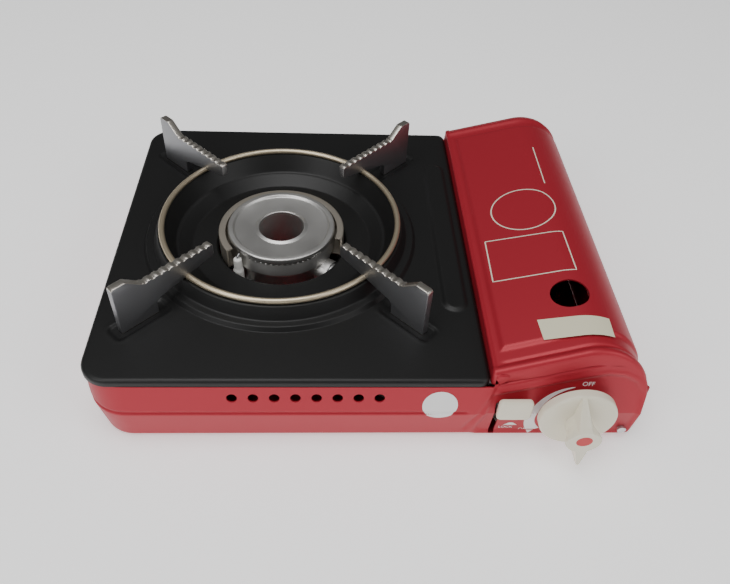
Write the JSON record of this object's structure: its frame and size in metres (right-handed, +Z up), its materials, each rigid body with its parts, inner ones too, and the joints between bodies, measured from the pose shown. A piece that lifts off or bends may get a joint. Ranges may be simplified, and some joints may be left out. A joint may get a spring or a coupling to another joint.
{
  "type": "butane cassette stove",
  "caption": "Portable gas stove: a burner under a lift-off pan support, a bay for a gas canister under a hinged lid, a control knob and a canister lever",
  "frame": {"origin": "on the table, under the middle of the whole stove with its knob", "axes": "+X to the right, seen from the controls; +Y to the rear; +Z up"},
  "size_m": [0.34, 0.294, 0.09],
  "materials": {
    "red_enamel": "glossy red paint",
    "black_enamel": "glossy black enamel with a brown cast",
    "galvanised": "plain zinc-plated sheet",
    "burner_alloy": "cast, with a warm tint",
    "guard_steel": "satin with a beige tint",
    "ceramic": "white, matt",
    "bright_steel": "plated",
    "lead_rubber": "silicone insulation",
    "dark_plastic": "black",
    "brass": "turned",
    "regulator_alloy": "die-cast",
    "seal_rubber": "black",
    "foot_rubber": "black",
    "pale_steel": "bright",
    "champagne_wire": "champagne plating",
    "support_steel": "grey satin with worn bright edges",
    "ivory_plastic": "ivory"
  },
  "bodies": {
    "base": {"body_pan": "red_enamel", "top_plate": "black_enamel", "divider_wall": "galvanised", "canister_cradle": "galvanised", "burner_body": "burner_alloy", "burner_cap": "burner_alloy", "mixing_tube": "galvanised", "burner_bracket": "galvanised", "flame_guard": "guard_steel", "electrode_ceramic": "ceramic", "electrode_rod": "bright_steel", "ignition_lead": "lead_rubber", "piezo_igniter": "dark_plastic", "gas_jet": "brass", "gas_pipe": "bright_steel", "regulator_body": "regulator_alloy", "regulator_cover": "regulator_alloy", "canister_seat": "brass", "seat_seal": "seal_rubber", "regulator_bracket": "galvanised", "regulator_screws": "bright_steel", "burner_screws": "bright_steel", "rubber_feet": "foot_rubber", "lid_hinge_pins": "bright_steel", "lever_pivot_pin": "bright_steel", "lever_bracket": "galvanised", "pusher_guides": "galvanised", "canister_rest": "pale_steel"},
    "pan_support": {"support_ring": "champagne_wire", "support_leg_front_left": "support_steel", "support_leg_front_right": "support_steel", "support_leg_rear_left": "support_steel", "support_leg_rear_right": "support_steel"},
    "control_knob": {"knob": "ivory_plastic", "knob_shaft": "bright_steel", "ignition_cam": "galvanised"},
    "canister_lever": {"lever_plate": "galvanised", "lever_button": "ivory_plastic", "lever_drive_pin": "bright_steel"},
    "pusher": {"canister_pusher": "galvanised"},
    "lid": {"canister_lid": "red_enamel"}
  },
  "joints": [
    {"name": "pan_support_lift", "type": "slide", "parent": "base", "child": "pan_support", "axis": [0, 0, 1], "range_m": [0, 0.06]},
    {"name": "knob_turn", "type": "hinge", "parent": "base", "child": "control_knob", "pos_m": [0.1265, -0.13, 0.0345], "axis": [0, -1, 0], "range_deg": [0, 110]},
    {"name": "lever_press", "type": "hinge", "parent": "base", "child": "canister_lever", "pos_m": [0.08, -0.0655, 0.024], "axis": [1, 0, 0], "range_deg": [0, 11.5]},
    {"name": "pusher_slide", "type": "slide", "parent": "base", "child": "pusher", "axis": [0, -1, 0], "range_m": [0, 0.0046]},
    {"name": "lid_open", "type": "hinge", "parent": "base", "child": "lid", "pos_m": [0.1635, 0, 0.009], "axis": [0, 1, 0], "range_deg": [0, 90]}
  ],
  "couplings": [
    {"joint": "pusher_slide", "follows": "lever_press", "m_per_rad": 0.022}
  ]
}
